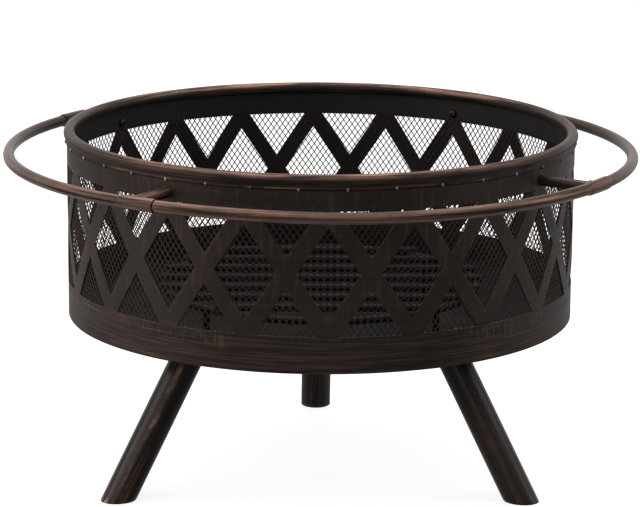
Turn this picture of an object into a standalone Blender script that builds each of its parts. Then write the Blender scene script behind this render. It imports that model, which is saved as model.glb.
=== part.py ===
"""Round steel fire pit: a diamond-lattice drum with a rolled rim and a mesh liner,
a pressed fire bowl, three splayed tube legs, a handle ring on four arms, and a
lift-out log grate.

Metres, +Z up. The origin is on the ground, under the middle of the drum. The front
is -Y. An azimuth is in degrees, 0 at the front and growing towards +X. A piece that
repeats is modelled at the front, and hangs from an empty turned to its azimuth.
"""

import math

import bmesh
import bpy
from mathutils import Matrix, Vector

OBJECT_NAME = "fire_pit"

# General
CLEARANCE = 0.0003            # gap between two pieces that touch
CUT_OVERRUN = 0.0100          # how far a cutter runs past what it cuts
SHEET = 0.0012                # thickness of the drum, rim and bowl steel
TURN_STEPS = 72               # facets round every turned piece
TURN_START = 0.5              # azimuth of a facet's edge, clear of every window's corners

# Drum: a rolled sheet band, cut through with a lattice of crossing straps
DRUM_OUTER_R = 0.3045
DRUM_BOTTOM_Z = 0.2005
DRUM_TOP_Z = 0.4150
LATTICE_CELLS = 20
LATTICE_BOTTOM_Z = 0.2430     # strap centre lines cross at this height
LATTICE_TOP_Z = 0.3860        # and at this one, and half way between
STRAP_WIDTH = 0.0195
LATTICE_AZIMUTH = 1.0         # middle of one full diamond window

# Rolled rim over the top edge of the drum
RIM_OUTER_R = 0.3080
RIM_TOP_Z = 0.4275
RIM_BEAD_R = 0.00675
RIM_SKIRT_Z = 0.4110
RIM_SKIRT_BEND = 0.0035       # height over which the curl meets the skirt
RIM_CURL_START = 255.0        # the curl runs from this angle over the top
RIM_CURL_END = -20.0          # and down to this one, where the skirt begins
RIM_CURL_STEPS = 6

# Spark mesh, as a plain closed sleeve, standing on the bowl inside the drum.
# This thickness gives the sleeve about the weight of the open mesh.
LINER_THICKNESS = 0.0005
LINER_TOP_Z = 0.3900

# Fire bowl: a pressed pan with a flat floor, set into the foot of the drum
BOWL_WALL_TOP_Z = 0.2317
BOWL_KNUCKLE_R = 0.0065
BOWL_KNUCKLE_TURN = (0.0, -37.5, -75.0)
BOWL_SHOULDER_Z = 0.2000
BOWL_FLOOR_R = 0.2450
BOWL_FLOOR_Z = 0.1860

# Legs: round tube, splayed outwards, cut level with the ground
LEG_AZIMUTHS = {"front_left": -60.0, "front_right": 60.0, "rear": 180.0}
LEG_TUBE_R = 0.0190
LEG_WALL = 0.0020
LEG_FOOT_R = 0.2760           # from the drum's axis to the middle of a foot
LEG_TILT = 30.0
LEG_SIDES = 24

# Plates that carry the legs under the bowl, and their bolts
PLATE_WIDTH = 0.0960          # across the leg
PLATE_DEPTH = 0.0600          # along the drum's radius
PLATE_THICKNESS = 0.0030
PLATE_CORNER_R = 0.0100
PLATE_CORNER_STEPS = 3
PLATE_BOLT_OFFSET = 0.0350

# Fasteners, M6
BOLT_R = 0.0030
BOLT_HOLE_R = 0.0036
BOLT_HEAD_R = 0.0058
BOLT_HEAD_HEIGHT = 0.0034
BOLT_HEAD_SHAPE = ((0.0, 1.0), (0.62, 0.88), (0.93, 0.45), (1.0, 0.0))
BOLT_SIDES = 10
NUT_ACROSS_FLATS = 0.0100
NUT_SIDES = 6
NUT_HEIGHT = 0.0050
LEG_BOLT_LENGTH = 0.0135

# Handle ring: four quarter tubes, each pushed into the widened end of the last one
QUARTER_STARTS = {"front": -35.0, "right": 55.0, "rear": 145.0, "left": 235.0}
RING_OUTER_R = 0.3800
RING_TUBE_R = 0.00675
RING_WALL = 0.0012
RING_Z = 0.3960
RING_STEPS = 14               # straight stretches of a quarter tube between its ends
RING_SIDES = 12
RING_BORE_SIDES = 6
SOCKET_START = -2.3           # the widened end, in degrees from its arm
SOCKET_END = 5.0
SOCKET_FLARE = 0.5            # degrees over which the tube widens
SOCKET_WALL = 0.0008
PLUG_START = 1.9              # where the next quarter tube begins inside it

# Arms that carry the ring, one at each widened end, and their bolts
ARM_AZIMUTHS = {"front_left": -35.0, "front_right": 55.0, "rear_right": 145.0, "rear_left": 235.0}
ARM_R = 0.00625
ARM_BORE_R = 0.0050
INSERT_LENGTH = 0.0150
ARM_BOLT_LENGTH = 0.0160
ARM_BOLT_HEAD_GAP = 0.0006    # the flat head stands this far off the curved wall

# Log grate: welded round bar
GRATE_RING_R = 0.1900
GRATE_BAR_R = 0.0045
GRATE_HEIGHT = 0.0450         # from the bowl's floor to the middle of the ring's bar
GRATE_BARS = 7
GRATE_BAR_PITCH = 0.0500
GRATE_BAR_LIFT = 0.0060       # the bars are welded this far above the ring
GRATE_BAR_OVERHANG = 0.0080
GRATE_FOOT_R = 0.0043
GRATE_FOOT_AZIMUTHS = (45.0, 135.0, 225.0, 315.0)
GRATE_SIDES = 8
GRATE_RING_STEPS = 40

# Worked out from the above
DRUM_INNER_R = DRUM_OUTER_R - SHEET
LINER_OUTER_R = DRUM_INNER_R - CLEARANCE
LINER_BOTTOM_Z = BOWL_WALL_TOP_Z + CLEARANCE
BOWL_OUTER_R = DRUM_INNER_R - CLEARANCE
BOWL_INSIDE_Z = BOWL_FLOOR_Z + SHEET
PLATE_TOP_Z = BOWL_FLOOR_Z - CLEARANCE
PLATE_BOTTOM_Z = PLATE_TOP_Z - PLATE_THICKNESS
LEG_TOP_Z = PLATE_BOTTOM_Z - CLEARANCE
LEG_TOP_R = LEG_FOOT_R - LEG_TOP_Z * math.tan(math.radians(LEG_TILT))
RING_R = RING_OUTER_R - RING_TUBE_R
SOCKET_BORE_R = RING_TUBE_R + CLEARANCE
SOCKET_OUTER_R = SOCKET_BORE_R + SOCKET_WALL
ARM_INNER_END_R = DRUM_OUTER_R + CLEARANCE
INSERT_OUTER_R = ARM_BORE_R - CLEARANCE

# Looks: base colour, roughness, metallic value
STEEL_BRONZE = ((0.035, 0.026, 0.021), 0.42, 0.30)
STEEL_DARK = ((0.020, 0.018, 0.017), 0.55, 0.20)
STEEL_ZINC = ((0.300, 0.300, 0.290), 0.40, 0.90)


# ---------------------------------------------------------------- scene helpers

def clear_scene():
    for obj in list(bpy.data.objects):
        bpy.data.objects.remove(obj, do_unlink=True)


def new_collection(name):
    collection = bpy.data.collections.new(name)
    bpy.context.scene.collection.children.link(collection)
    return collection


def new_material(name, look):
    colour, roughness, metallic = look
    material = bpy.data.materials.new(name)
    material.use_nodes = True
    shader = material.node_tree.nodes["Principled BSDF"]
    shader.inputs["Base Color"].default_value = (*colour, 1.0)
    shader.inputs["Roughness"].default_value = roughness
    shader.inputs["Metallic"].default_value = metallic
    return material


def new_station(name, azimuth=0.0, height=0.0):
    """An empty on the drum's axis, from which pieces modelled at the front hang."""
    station = bpy.data.objects.new(name, None)
    station.location.z = height
    station.rotation_euler.z = math.radians(azimuth)
    PARTS.objects.link(station)
    return station


def place(name, mesh, look=None, station=None):
    """Puts a mesh in the scene: in the part's collection with a material, or as a cutter."""
    obj = bpy.data.objects.new(name, mesh)
    obj.parent = station
    if look is None:
        obj.hide_render = True
        obj.display_type = "WIRE"
        CUTTERS.objects.link(obj)
    else:
        mesh.materials.clear()
        mesh.materials.append(new_material(name, look))
        PARTS.objects.link(obj)
    return obj


def turned_to(azimuth):
    return Matrix.Rotation(math.radians(azimuth), 4, "Z")


def at_azimuth(radius, azimuth, height):
    angle = math.radians(azimuth)
    return Vector((radius * math.sin(angle), -radius * math.cos(angle), height))


def smooth(obj, angle=40.0):
    obj.data.shade_smooth()
    obj.data.set_sharp_from_angle(angle=math.radians(angle))


# ---------------------------------------------------------------- shape helpers

def as_mesh(obj):
    """The evaluated object as one closed mesh, in world space; the object itself is removed."""
    bpy.context.view_layer.update()
    evaluated = obj.evaluated_get(bpy.context.evaluated_depsgraph_get())
    mesh = bpy.data.meshes.new_from_object(evaluated)
    mesh.transform(obj.matrix_world)
    bpy.data.objects.remove(obj, do_unlink=True)
    bm = bmesh.new()
    bm.from_mesh(mesh)
    bmesh.ops.remove_doubles(bm, verts=bm.verts, dist=0.00001)
    bmesh.ops.recalc_face_normals(bm, faces=bm.faces)
    bm.to_mesh(mesh)
    bm.free()
    return mesh


def combined(meshes):
    """One mesh holding several."""
    bm = bmesh.new()
    for mesh in meshes:
        bm.from_mesh(mesh)
    result = bpy.data.meshes.new("combined")
    bm.to_mesh(result)
    bm.free()
    return result


def moved(mesh, matrix):
    copy = mesh.copy()
    copy.transform(matrix)
    return copy


def cylinder_mesh(radius, start, end, sides):
    """A capped cylinder between two points."""
    start = Vector(start)
    end = Vector(end)
    axis = end - start
    bm = bmesh.new()
    bmesh.ops.create_cone(bm, cap_ends=True, segments=sides, radius1=radius, radius2=radius,
                          depth=axis.length)
    bm.transform(Matrix.Translation((start + end) / 2) @ axis.to_track_quat("Z", "Y").to_matrix().to_4x4())
    mesh = bpy.data.meshes.new("cylinder")
    bm.to_mesh(mesh)
    bm.free()
    return mesh


def box_mesh(size, centre):
    bm = bmesh.new()
    bmesh.ops.create_cube(bm, size=1.0)
    bm.transform(Matrix.Translation(centre) @ Matrix.Diagonal((*size, 1.0)))
    mesh = bpy.data.meshes.new("box")
    bm.to_mesh(mesh)
    bm.free()
    return mesh


def tube_mesh(points, radius, sides, widths=None):
    """A round bar along a line of points, with filled ends; widths scale its radius at each."""
    curve = bpy.data.curves.new("bar", "CURVE")
    curve.dimensions = "3D"
    curve.bevel_depth = radius
    curve.bevel_resolution = (sides - 4) // 2
    curve.use_fill_caps = True
    spline = curve.splines.new("POLY")
    spline.points.add(len(points) - 1)
    for spline_point, point, width in zip(spline.points, points, widths or [1.0] * len(points)):
        spline_point.co = (*point, 1.0)
        spline_point.radius = width
    obj = bpy.data.objects.new("bar", curve)
    bpy.context.scene.collection.objects.link(obj)
    return as_mesh(obj)


def outline_mesh(outlines, thickness):
    """Flat outlines in the local XY plane, thickened evenly to both sides."""
    curve = bpy.data.curves.new("outline", "CURVE")
    curve.dimensions = "2D"
    curve.fill_mode = "BOTH"
    curve.extrude = thickness / 2
    for outline in outlines:
        spline = curve.splines.new("POLY")
        spline.use_cyclic_u = True
        spline.points.add(len(outline) - 1)
        for spline_point, (x, y) in zip(spline.points, outline):
            spline_point.co = (x, y, 0.0, 1.0)
    obj = bpy.data.objects.new("outline", curve)
    bpy.context.scene.collection.objects.link(obj)
    return as_mesh(obj)


def turned(name, profile, look, closed=True, steps=TURN_STEPS, station=None):
    """A profile of (radius, height) points turned once round the Z axis."""
    mesh = bpy.data.meshes.new(name)
    verts = [(radius, 0.0, height) for radius, height in profile]
    count = len(verts)
    edges = [(i, (i + 1) % count) for i in range(count if closed else count - 1)]
    mesh.from_pydata(verts, edges, [])
    obj = place(name, mesh, look, station)
    obj.rotation_euler.z = math.radians(TURN_START)
    screw = obj.modifiers.new("Turn", "SCREW")
    screw.axis = "Z"
    screw.steps = steps
    screw.render_steps = steps
    screw.use_merge_vertices = True
    screw.merge_threshold = 0.00001
    return obj


def solidify(obj, thickness):
    modifier = obj.modifiers.new("Sheet", "SOLIDIFY")
    modifier.thickness = thickness
    modifier.offset = -1.0
    modifier.use_even_offset = True


def boolean(obj, cutter_mesh, operation="DIFFERENCE"):
    """Cuts or joins a mesh that is given in the same station's frame as the object."""
    cutter = place(obj.name + "_" + operation.lower(), cutter_mesh, station=obj.parent)
    modifier = obj.modifiers.new(operation.title(), "BOOLEAN")
    modifier.operation = operation
    modifier.object = cutter
    modifier.solver = "EXACT"


def arc_points(radius, height, azimuths):
    return [at_azimuth(radius, azimuth, height) for azimuth in azimuths]


# ---------------------------------------------------------------- drum, rim, liner, bowl

def lattice_windows():
    """The three window outlines of one lattice cell, x along the drum and y up.

    A full diamond stands between two half-height triangles that share the next
    strap crossing, one hanging from the top edge and one standing on the bottom.
    """
    half_pitch = math.pi * DRUM_OUTER_R / LATTICE_CELLS
    middle_z = (LATTICE_TOP_Z + LATTICE_BOTTOM_Z) / 2
    half_height = (LATTICE_TOP_Z - LATTICE_BOTTOM_Z) / 2
    slope = math.atan2(half_pitch, half_height)
    strap_up = STRAP_WIDTH / 2 / math.sin(slope)
    strap_along = STRAP_WIDTH / 2 / math.cos(slope)
    reach = half_pitch - strap_along
    diamond = [
        (-reach, middle_z),
        (0.0, LATTICE_BOTTOM_Z + strap_up),
        (reach, middle_z),
        (0.0, LATTICE_TOP_Z - strap_up),
    ]
    hanging = [(-reach, LATTICE_TOP_Z), (0.0, middle_z + strap_up), (reach, LATTICE_TOP_Z)]
    standing = [(-reach, LATTICE_BOTTOM_Z), (reach, LATTICE_BOTTOM_Z), (0.0, middle_z - strap_up)]
    return diamond, hanging, standing


def lattice_cutter():
    depth = 2 * CUT_OVERRUN
    diamond, hanging, standing = lattice_windows()
    upright = Matrix.Translation((0.0, -DRUM_OUTER_R, 0.0)) @ Matrix.Rotation(math.pi / 2, 4, "X")
    diamond_mesh = moved(outline_mesh([diamond], depth), upright)
    triangles_mesh = moved(outline_mesh([hanging, standing], depth), upright)
    cell_angle = 360.0 / LATTICE_CELLS
    cells = []
    for cell in range(LATTICE_CELLS):
        azimuth = LATTICE_AZIMUTH + cell * cell_angle
        cells.append(moved(diamond_mesh, turned_to(azimuth)))
        cells.append(moved(triangles_mesh, turned_to(azimuth + cell_angle / 2)))
    return combined(cells)


def make_drum_band():
    profile = [
        (DRUM_OUTER_R, DRUM_TOP_Z),
        (DRUM_OUTER_R, DRUM_BOTTOM_Z),
        (DRUM_INNER_R, DRUM_BOTTOM_Z),
        (DRUM_INNER_R, DRUM_TOP_Z),
    ]
    band = turned("drum_band", profile, STEEL_BRONZE)
    bolt_holes = []
    for azimuth in ARM_AZIMUTHS.values():
        inside = at_azimuth(DRUM_OUTER_R - CUT_OVERRUN, azimuth, RING_Z)
        outside = at_azimuth(DRUM_OUTER_R + CUT_OVERRUN, azimuth, RING_Z)
        bolt_holes.append(cylinder_mesh(BOLT_HOLE_R, inside, outside, BOLT_SIDES))
    boolean(band, combined([lattice_cutter(), *bolt_holes]))
    smooth(band)


def make_rim():
    bead_r = RIM_OUTER_R - RIM_BEAD_R
    bead_z = RIM_TOP_Z - RIM_BEAD_R
    skirt_r = DRUM_OUTER_R + CLEARANCE + SHEET
    profile = []
    for step in range(RIM_CURL_STEPS + 1):
        share = step / RIM_CURL_STEPS
        angle = math.radians(RIM_CURL_START + (RIM_CURL_END - RIM_CURL_START) * share)
        profile.append((bead_r + RIM_BEAD_R * math.cos(angle), bead_z + RIM_BEAD_R * math.sin(angle)))
    profile.append((skirt_r, RIM_SKIRT_Z + RIM_SKIRT_BEND))
    profile.append((skirt_r, RIM_SKIRT_Z))
    rim = turned("rolled_rim", profile, STEEL_BRONZE, closed=False)
    solidify(rim, SHEET)
    smooth(rim)


def make_liner():
    inner_r = LINER_OUTER_R - LINER_THICKNESS
    profile = [
        (LINER_OUTER_R, LINER_TOP_Z),
        (LINER_OUTER_R, LINER_BOTTOM_Z),
        (inner_r, LINER_BOTTOM_Z),
        (inner_r, LINER_TOP_Z),
    ]
    smooth(turned("spark_mesh_liner", profile, STEEL_DARK))


def plate_bolt_places():
    """Where the two bolts of a leg plate stand in its station, looking down."""
    return [Vector((side * PLATE_BOLT_OFFSET, -LEG_TOP_R, 0.0)) for side in (-1, 1)]


def upright_hole(place_xy, low_z, high_z):
    """A cutter for a bolt's hole, running past both faces."""
    start = Vector((place_xy.x, place_xy.y, low_z - CUT_OVERRUN))
    end = Vector((place_xy.x, place_xy.y, high_z + CUT_OVERRUN))
    return cylinder_mesh(BOLT_HOLE_R, start, end, BOLT_SIDES)


def make_bowl():
    knuckle_x = BOWL_OUTER_R - BOWL_KNUCKLE_R
    knuckle_z = BOWL_SHOULDER_Z + BOWL_KNUCKLE_R
    profile = [(BOWL_OUTER_R, BOWL_WALL_TOP_Z)]
    for angle in BOWL_KNUCKLE_TURN:
        turn = math.radians(angle)
        profile.append((knuckle_x + BOWL_KNUCKLE_R * math.cos(turn),
                        knuckle_z + BOWL_KNUCKLE_R * math.sin(turn)))
    profile.append((BOWL_FLOOR_R, BOWL_FLOOR_Z))
    profile.append((0.0, BOWL_FLOOR_Z))
    bowl = turned("fire_bowl", profile, STEEL_DARK, closed=False)
    solidify(bowl, SHEET)
    holes = []
    for azimuth in LEG_AZIMUTHS.values():
        for bolt in plate_bolt_places():
            holes.append(upright_hole(turned_to(azimuth) @ bolt, BOWL_FLOOR_Z, BOWL_INSIDE_Z))
    boolean(bowl, combined(holes))
    smooth(bowl)


# ---------------------------------------------------------------- legs and their plates

def make_leg(name, station):
    """A splayed tube, made too long and trimmed flat at the ground and under its plate."""
    top = Vector((0.0, -LEG_TOP_R, LEG_TOP_Z))
    foot = Vector((0.0, -LEG_FOOT_R, 0.0))
    overrun = (top - foot).normalized() * 2 * LEG_TUBE_R
    tube = cylinder_mesh(LEG_TUBE_R, foot - overrun, top + overrun, LEG_SIDES)
    leg = place("leg_" + name, tube, STEEL_BRONZE, station)
    boolean(leg, cylinder_mesh(LEG_TUBE_R - LEG_WALL, foot - 2 * overrun, top + 2 * overrun, LEG_SIDES))
    slab_side = 2 * LEG_FOOT_R
    slab = box_mesh((slab_side, slab_side, LEG_TOP_Z), (0.0, -LEG_FOOT_R - LEG_TUBE_R, LEG_TOP_Z / 2))
    boolean(leg, slab, "INTERSECT")
    smooth(leg)


def rounded_rectangle(width, depth, corner_r):
    points = []
    for corner, (sign_x, sign_y) in enumerate([(1, 1), (-1, 1), (-1, -1), (1, -1)]):
        centre_x = sign_x * (width / 2 - corner_r)
        centre_y = sign_y * (depth / 2 - corner_r)
        for step in range(PLATE_CORNER_STEPS + 1):
            angle = math.radians(90.0 * (corner + step / PLATE_CORNER_STEPS))
            points.append((centre_x + corner_r * math.cos(angle), centre_y + corner_r * math.sin(angle)))
    return points


def make_leg_plate(name, station):
    outline = rounded_rectangle(PLATE_WIDTH, PLATE_DEPTH, PLATE_CORNER_R)
    middle = Matrix.Translation((0.0, -LEG_TOP_R, (PLATE_TOP_Z + PLATE_BOTTOM_Z) / 2))
    mesh = moved(outline_mesh([outline], PLATE_THICKNESS), middle)
    plate = place("leg_plate_" + name, mesh, STEEL_DARK, station)
    holes = [upright_hole(bolt, PLATE_BOTTOM_Z, PLATE_TOP_Z) for bolt in plate_bolt_places()]
    boolean(plate, combined(holes))


# ---------------------------------------------------------------- fasteners

def make_bolt(name, length, seat, tip_angle, station):
    """A button-headed bolt, its head's underside at seat, tipped about X from head up."""
    profile = [(BOLT_HEAD_R * share, BOLT_HEAD_HEIGHT * rise) for share, rise in BOLT_HEAD_SHAPE]
    profile += [(BOLT_R, 0.0), (BOLT_R, -length), (0.0, -length)]
    bolt = turned(name, profile, STEEL_ZINC, closed=False, steps=BOLT_SIDES, station=station)
    bolt.location = seat
    bolt.rotation_euler = (math.radians(tip_angle), 0.0, 0.0)
    smooth(bolt)


def make_nut(name, top, station):
    """A hexagon nut hanging under a point."""
    low = Vector((top.x, top.y, top.z - NUT_HEIGHT))
    corner_r = NUT_ACROSS_FLATS / 2 / math.cos(math.pi / NUT_SIDES)
    nut = place(name, cylinder_mesh(corner_r, low, top, NUT_SIDES), STEEL_ZINC, station)
    boolean(nut, upright_hole(top, low.z, top.z))


def make_leg_fasteners(name, station):
    for side, bolt in zip(("left", "right"), plate_bolt_places()):
        head_seat = Vector((bolt.x, bolt.y, BOWL_INSIDE_Z + CLEARANCE))
        make_bolt("leg_bolt_" + name + "_" + side, LEG_BOLT_LENGTH, head_seat, 0.0, station)
        nut_top = Vector((bolt.x, bolt.y, PLATE_BOTTOM_Z - CLEARANCE))
        make_nut("leg_nut_" + name + "_" + side, nut_top, station)


# ---------------------------------------------------------------- handle ring

def make_ring_quarter(name, station):
    """A quarter tube that starts inside the last one's widened end and ends in its own."""
    flare = 90.0 + SOCKET_START
    end = 90.0 + SOCKET_END
    first = SOCKET_END
    thin = [first + (flare - first) * step / RING_STEPS for step in range(RING_STEPS + 1)]
    wide = [flare + SOCKET_FLARE, 90.0, 90.0 + PLUG_START, end]
    route = [PLUG_START, *thin, *wide]
    widths = [1.0] * (len(thin) + 1) + [SOCKET_OUTER_R / RING_TUBE_R] * len(wide)
    tube = tube_mesh(arc_points(RING_R, RING_Z, route), RING_TUBE_R, RING_SIDES, widths)
    quarter = place("ring_quarter_" + name, tube, STEEL_BRONZE, station)
    bore_r = RING_TUBE_R - RING_WALL
    bore_route = [PLUG_START - SOCKET_FLARE, *thin, *wide[:-1], end + SOCKET_FLARE]
    bore_widths = [1.0] * (len(thin) + 1) + [SOCKET_BORE_R / bore_r] * len(wide)
    boolean(quarter, tube_mesh(arc_points(RING_R, RING_Z, bore_route), bore_r, RING_SIDES, bore_widths))
    smooth(quarter)


def make_arm(name, station):
    """A radial tube from the drum to the handle ring, its outer end coped to the ring's tube."""
    start = at_azimuth(ARM_INNER_END_R, 0.0, RING_Z)
    end = at_azimuth(RING_R, 0.0, RING_Z)
    arm = place("ring_arm_" + name, cylinder_mesh(ARM_R, start, end, RING_SIDES), STEEL_BRONZE, station)
    overrun = Vector((0.0, CUT_OVERRUN, 0.0))
    bore = cylinder_mesh(ARM_BORE_R, start + overrun, end - overrun, RING_SIDES)
    ring_line = arc_points(RING_R, RING_Z, [-SOCKET_END, 0.0, SOCKET_END])
    boolean(arm, bore)
    boolean(arm, tube_mesh(ring_line, SOCKET_OUTER_R + CLEARANCE, RING_SIDES))
    smooth(arm)


def make_arm_insert(name, station):
    """The threaded insert pressed into the drum end of an arm."""
    start = at_azimuth(ARM_INNER_END_R + CLEARANCE, 0.0, RING_Z)
    end = at_azimuth(ARM_INNER_END_R + CLEARANCE + INSERT_LENGTH, 0.0, RING_Z)
    insert = place("arm_insert_" + name, cylinder_mesh(INSERT_OUTER_R, start, end, RING_SIDES), STEEL_ZINC,
                   station)
    overrun = Vector((0.0, CUT_OVERRUN, 0.0))
    boolean(insert, cylinder_mesh(BOLT_HOLE_R, start + overrun, end - overrun, BOLT_SIDES))
    smooth(insert)


def make_arm_bolt(name, station):
    """A bolt from inside the drum out into an arm's insert."""
    seat = at_azimuth(DRUM_INNER_R - ARM_BOLT_HEAD_GAP, 0.0, RING_Z)
    make_bolt("arm_bolt_" + name, ARM_BOLT_LENGTH, seat, -90.0, station)


# ---------------------------------------------------------------- log grate

def make_grate(station):
    """The ring, its bars and its feet, modelled up from the bowl's floor."""
    ring_z = GRATE_HEIGHT - CLEARANCE
    bar_z = ring_z + GRATE_BAR_LIFT
    bpy.ops.mesh.primitive_torus_add(major_radius=GRATE_RING_R, minor_radius=GRATE_BAR_R,
                                     major_segments=GRATE_RING_STEPS, minor_segments=GRATE_SIDES,
                                     location=(0.0, 0.0, ring_z))
    ring_mesh = as_mesh(bpy.context.object)
    bars = []
    for index in range(GRATE_BARS):
        y = (index - (GRATE_BARS - 1) / 2) * GRATE_BAR_PITCH
        reach = math.sqrt(GRATE_RING_R ** 2 - y ** 2) + GRATE_BAR_OVERHANG
        bars.append(cylinder_mesh(GRATE_BAR_R, (-reach, y, bar_z), (reach, y, bar_z), GRATE_SIDES))
    feet = []
    for azimuth in GRATE_FOOT_AZIMUTHS:
        low = at_azimuth(GRATE_RING_R, azimuth, 0.0)
        high = at_azimuth(GRATE_RING_R, azimuth, ring_z)
        feet.append(cylinder_mesh(GRATE_FOOT_R, low, high, GRATE_SIDES))
    grate = place("log_grate", ring_mesh, STEEL_DARK, station)
    boolean(grate, combined(bars), "UNION")
    boolean(grate, combined(feet), "UNION")
    smooth(grate)


# ---------------------------------------------------------------- assembly

clear_scene()
PARTS = new_collection(OBJECT_NAME)
CUTTERS = new_collection(OBJECT_NAME + "_cutters")

make_drum_band()
make_rim()
make_liner()
make_bowl()

for leg_name, leg_azimuth in LEG_AZIMUTHS.items():
    leg_station = new_station("station_leg_" + leg_name, leg_azimuth)
    make_leg(leg_name, leg_station)
    make_leg_plate(leg_name, leg_station)
    make_leg_fasteners(leg_name, leg_station)

for quarter_name, quarter_azimuth in QUARTER_STARTS.items():
    make_ring_quarter(quarter_name, new_station("station_quarter_" + quarter_name, quarter_azimuth))

for arm_name, arm_azimuth in ARM_AZIMUTHS.items():
    arm_station = new_station("station_arm_" + arm_name, arm_azimuth)
    make_arm(arm_name, arm_station)
    make_arm_insert(arm_name, arm_station)
    make_arm_bolt(arm_name, arm_station)

# The grate lifts straight up along this empty's Z axis
make_grate(new_station("station_grate", height=BOWL_INSIDE_Z + CLEARANCE))
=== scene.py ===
"""The looks of the round steel fire pit: rubbed bronze paint over sheet and tube, an
expanded-metal liner, welds and fasteners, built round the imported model.

Metres, +Z up, in the frame's own coordinates. An azimuth is in degrees, 0 at the
front (-Y) and growing towards +X.
"""
import math

import bmesh
import bpy
import numpy as np
from mathutils import Matrix, Vector, noise


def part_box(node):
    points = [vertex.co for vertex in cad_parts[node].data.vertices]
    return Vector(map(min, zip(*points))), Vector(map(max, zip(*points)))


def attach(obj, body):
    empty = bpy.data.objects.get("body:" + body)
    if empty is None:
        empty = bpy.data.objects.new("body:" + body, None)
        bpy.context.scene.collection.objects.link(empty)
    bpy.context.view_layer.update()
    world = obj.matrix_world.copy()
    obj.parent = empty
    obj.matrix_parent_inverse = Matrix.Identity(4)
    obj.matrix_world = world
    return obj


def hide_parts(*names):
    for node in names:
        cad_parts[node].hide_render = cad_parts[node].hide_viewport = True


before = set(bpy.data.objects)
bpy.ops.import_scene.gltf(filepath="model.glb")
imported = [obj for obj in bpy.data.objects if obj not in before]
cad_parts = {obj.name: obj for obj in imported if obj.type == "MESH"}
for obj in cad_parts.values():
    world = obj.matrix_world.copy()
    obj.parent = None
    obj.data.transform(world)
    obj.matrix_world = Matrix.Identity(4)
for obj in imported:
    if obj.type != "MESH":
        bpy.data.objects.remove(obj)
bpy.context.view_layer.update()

# Counts and shapes that the frame's plain solids share
LATTICE_CELLS = 20
LATTICE_AZIMUTH = 1.0          # middle of one full diamond window
LATTICE_BOTTOM_Z = 0.2430      # the straps' centre lines cross here,
LATTICE_TOP_Z = 0.3860         # here, and half way between
STRAP_WIDTH = 0.0195
SHEET = 0.0012
RIM_BEAD_R = 0.00675
RIM_REACH = 0.0035             # how far the bead stands out past the drum
RIM_CROWN = 0.0003             # how far its round top stands above the frame's faceted one
RIM_SKIRT_Z = 0.4110
TACK_WELDS = 36
TACK_AZIMUTH = -35.0
ARM_AZIMUTHS = {"front_left": -35.0, "front_right": 55.0, "rear_right": 145.0, "rear_left": 235.0}
LEG_AZIMUTHS = {"front_left": -60.0, "front_right": 60.0, "rear": 180.0}
LEG_TILT = 30.0
LEG_RUB_AZIMUTH = -8.0         # the legs' paint is rubbed along the side that looks this way
QUARTER_STARTS = {"front": -35.0, "right": 55.0, "rear": 145.0, "left": 235.0}
RING_TUBE_R = 0.00675
SOCKET_START = -2.3            # the widened end of a quarter, in degrees from its arm
SOCKET_END = 5.0
SOCKET_FLARE = 0.6
PLUG_START = 1.9               # where the next quarter begins inside it
RING_SAG = 0.0031              # how far the front quarter hangs below level,
RING_SAG_SKEW = 1.15           # most of it a little right of its middle
SCREW_HEAD_HEIGHT = 0.0034
SCREW_SHANK_R = 0.0030
ARM_BOLT_HEAD_R = 0.0052
LEG_BOLT_HEAD_R = 0.0058
NUT_BORE_R = 0.0034
MERGE_DISTANCE = 0.00008


# -------------------- reading the frame

def radii(node):
    """Smallest and largest distance of a node's corners from the drum's axis."""
    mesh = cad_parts[node].data
    flat = np.zeros(len(mesh.vertices) * 3)
    mesh.vertices.foreach_get("co", flat)
    points = flat.reshape(-1, 3)
    distances = np.hypot(points[:, 0], points[:, 1])
    return float(distances.min()), float(distances.max())


def heights(node):
    low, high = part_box(node)
    return low.z, high.z


DRUM_OUTER_R = radii("drum_band")[1]
DRUM_BOTTOM_Z, DRUM_TOP_Z = heights("drum_band")
LINER_INNER_R, LINER_OUTER_R = radii("spark_mesh_liner")
LINER_BOTTOM_Z, LINER_TOP_Z = heights("spark_mesh_liner")
BOWL_OUTER_R = radii("fire_bowl")[1]
BOWL_FLOOR_Z, BOWL_TOP_Z = heights("fire_bowl")
RIM_OUTER_R = DRUM_OUTER_R + RIM_REACH
RIM_TOP_Z = heights("rolled_rim")[1] + RIM_CROWN
RING_LOW_Z, RING_HIGH_Z = heights("ring_quarter_front")
RING_Z = (RING_LOW_Z + RING_HIGH_Z) / 2
SOCKET_R = (RING_HIGH_Z - RING_LOW_Z) / 2
RING_R = radii("ring_quarter_front")[1] - SOCKET_R
ARM_INNER_END_R = radii("ring_arm_front_left")[0]
ARM_LOW_Z, ARM_HIGH_Z = heights("ring_arm_front_left")
ARM_R = (ARM_HIGH_Z - ARM_LOW_Z) / 2
LEG_TOP_Z = heights("leg_rear")[1]
LEG_TUBE_R = (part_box("leg_rear")[1].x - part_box("leg_rear")[0].x) / 2
LEG_FOOT_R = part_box("leg_rear")[1].y - LEG_TUBE_R / math.cos(math.radians(LEG_TILT))
LEG_TOP_R = LEG_FOOT_R - LEG_TOP_Z * math.tan(math.radians(LEG_TILT))


# -------------------- shape helpers

def turned_to(azimuth):
    return Matrix.Rotation(math.radians(azimuth), 4, "Z")


def at_azimuth(radius, azimuth, height):
    angle = math.radians(azimuth)
    return Vector((radius * math.sin(angle), -radius * math.cos(angle), height))


def turns(steps):
    """The angles of even steps round a circle."""
    return [2 * math.pi * step / steps for step in range(steps)]


def wobble(point, scale, seed):
    """Smooth unevenness, from about -1 to 1."""
    return noise.noise(Vector(point) * scale + Vector((seed, 2.3 * seed, -1.7 * seed)))


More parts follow.
